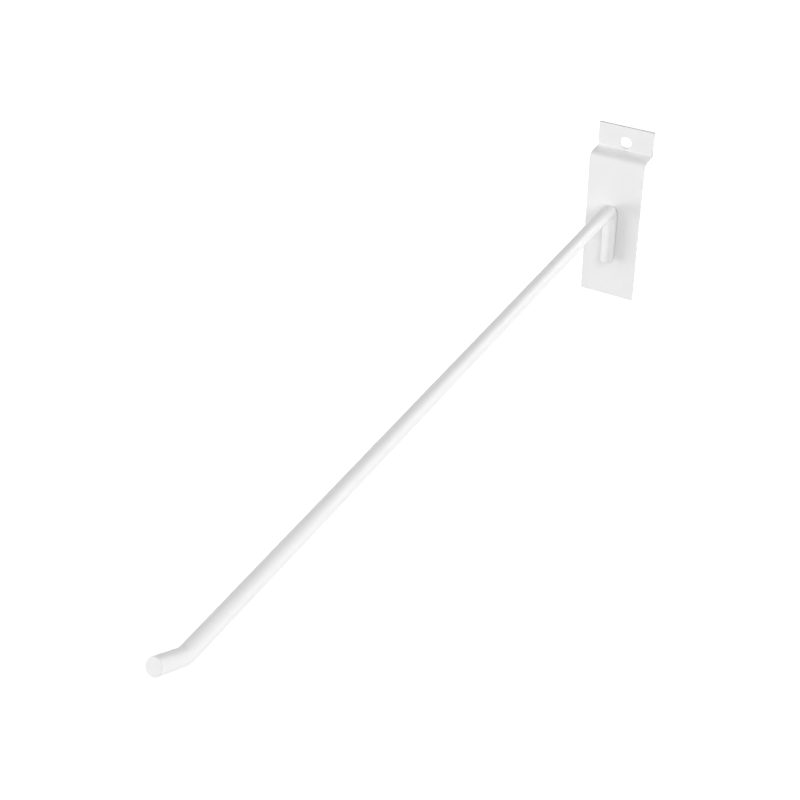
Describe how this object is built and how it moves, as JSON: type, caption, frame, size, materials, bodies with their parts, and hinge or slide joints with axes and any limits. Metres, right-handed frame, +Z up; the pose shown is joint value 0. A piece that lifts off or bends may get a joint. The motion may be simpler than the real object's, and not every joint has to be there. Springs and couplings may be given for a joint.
{
  "type": "slatwall hook",
  "caption": "Display hook for a slatted panel: a stepped steel plate hangs in the panel's groove and a welded round-wire arm with an upturned tip reaches forward.",
  "frame": {"origin": "centre of the main plate's flat back face, which rests on the panel", "axes": "+Y into the wall, +Z up, +X across the plate; the arm reaches out along -Y and rises 4 degrees"},
  "size_m": [0.0254, 0.3412, 0.081],
  "materials": {
    "powder_coat": "white powder coat, half gloss, with a faint orange-peel skin"
  },
  "bodies": {
    "root": {"back_plate": "powder_coat", "hook_wire": "powder_coat"}
  },
  "joints": []
}
